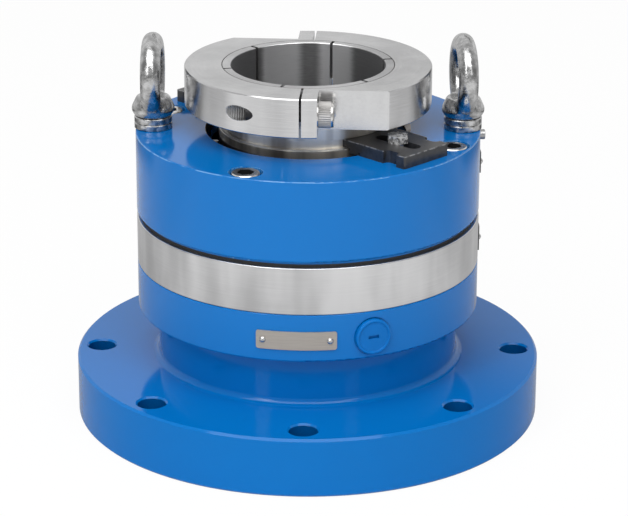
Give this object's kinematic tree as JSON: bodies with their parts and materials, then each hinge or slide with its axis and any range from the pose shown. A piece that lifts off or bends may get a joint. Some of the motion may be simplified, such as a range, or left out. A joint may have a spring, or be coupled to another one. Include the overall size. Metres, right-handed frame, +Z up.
{
  "type": "double mechanical seal",
  "caption": "Cartridge double mechanical seal for a vertical mixer shaft: blue flanged housing, stainless band, slotted sleeve with a split clamp ring, setting clips and lifting eyes.",
  "frame": {"origin": "shaft axis at the mounting flange's bottom face", "axes": "+Z up along the shaft, -Y towards the side with the outlet port's plate, +X towards the right lifting eye"},
  "size_m": [0.306, 0.306, 0.2555],
  "materials": {
    "blue_paint": "gloss",
    "stainless": "brushed",
    "bright_steel": "polished",
    "black_steel": "blackened",
    "rubber": "matte",
    "carbon": "lapped",
    "carbide": "lapped",
    "plate": "satin",
    "plug_plastic": "moulded"
  },
  "bodies": {
    "housing": {"mounting_flange": "blue_paint", "flange_oring": "rubber", "housing_ring": "stainless", "housing_ring_oring": "rubber", "ring_gasket": "rubber", "top_cover": "blue_paint", "cover_screw_1": "bright_steel", "cover_screw_2": "bright_steel", "cover_screw_3": "bright_steel", "cover_screw_4": "bright_steel", "eye_bolt_left": "bright_steel", "eye_bolt_right": "bright_steel", "eye_washers_left": "bright_steel", "eye_washers_right": "bright_steel", "clip_bolt_front": "bright_steel", "clip_bolt_back": "bright_steel", "label_plate": "plate", "label_screws": "bright_steel", "band_plate": "plate", "band_plate_screws": "bright_steel", "cover_plate": "plate", "cover_plate_screws": "bright_steel", "vent_screw": "bright_steel", "outlet_plug": "plug_plastic", "inlet_plug": "plug_plastic", "inboard_carrier": "stainless", "inboard_carrier_oring": "rubber", "inboard_tail_oring": "rubber", "inboard_springs": "bright_steel", "inboard_guide_pins": "bright_steel", "inboard_retaining_ring": "bright_steel", "outboard_carrier": "stainless", "outboard_carrier_oring": "rubber", "outboard_tail_oring": "rubber", "outboard_springs": "bright_steel", "outboard_guide_pins": "bright_steel", "outboard_retaining_ring": "bright_steel"},
    "rotor": {"shaft_sleeve": "stainless", "shaft_oring_lower": "rubber", "shaft_oring_upper": "rubber", "inboard_rotary_ring": "carbide", "inboard_rotary_oring": "rubber", "inboard_drive_pin": "bright_steel", "outboard_rotary_ring": "carbide", "outboard_rotary_oring": "rubber", "outboard_drive_pin": "bright_steel", "drive_collar": "stainless", "collar_oring": "rubber", "collar_set_screws": "bright_steel", "pumping_ring": "stainless", "clamp_half_left": "stainless", "clamp_half_right": "stainless", "clamp_screw_front": "bright_steel", "clamp_screw_back": "bright_steel"},
    "clip_front": {"clip_front": "black_steel"},
    "clip_back": {"clip_back": "black_steel"},
    "inboard_seal": {"inboard_seal_ring": "carbon"},
    "outboard_seal": {"outboard_seal_ring": "carbon"}
  },
  "joints": [
    {"name": "rotor_spin", "type": "hinge", "parent": "housing", "child": "rotor", "pos_m": [0, 0, 0.12], "axis": [0, 0, 1], "continuous": true},
    {"name": "clip_front_slide", "type": "slide", "parent": "housing", "child": "clip_front", "axis": [0.7157, -0.6984, 0], "range_m": [0, 0.012]},
    {"name": "clip_back_slide", "type": "slide", "parent": "housing", "child": "clip_back", "axis": [-0.7157, 0.6984, 0], "range_m": [0, 0.012]},
    {"name": "inboard_seal_float", "type": "slide", "parent": "housing", "child": "inboard_seal", "axis": [0, 0, 1], "range_m": [0, 0.002], "stiffness_N_per_m": 12000, "springref_m": -0.01, "deforming": ["inboard_springs"]},
    {"name": "outboard_seal_float", "type": "slide", "parent": "housing", "child": "outboard_seal", "axis": [0, 0, -1], "range_m": [0, 0.002], "stiffness_N_per_m": 12000, "springref_m": -0.01, "deforming": ["outboard_springs"]}
  ]
}
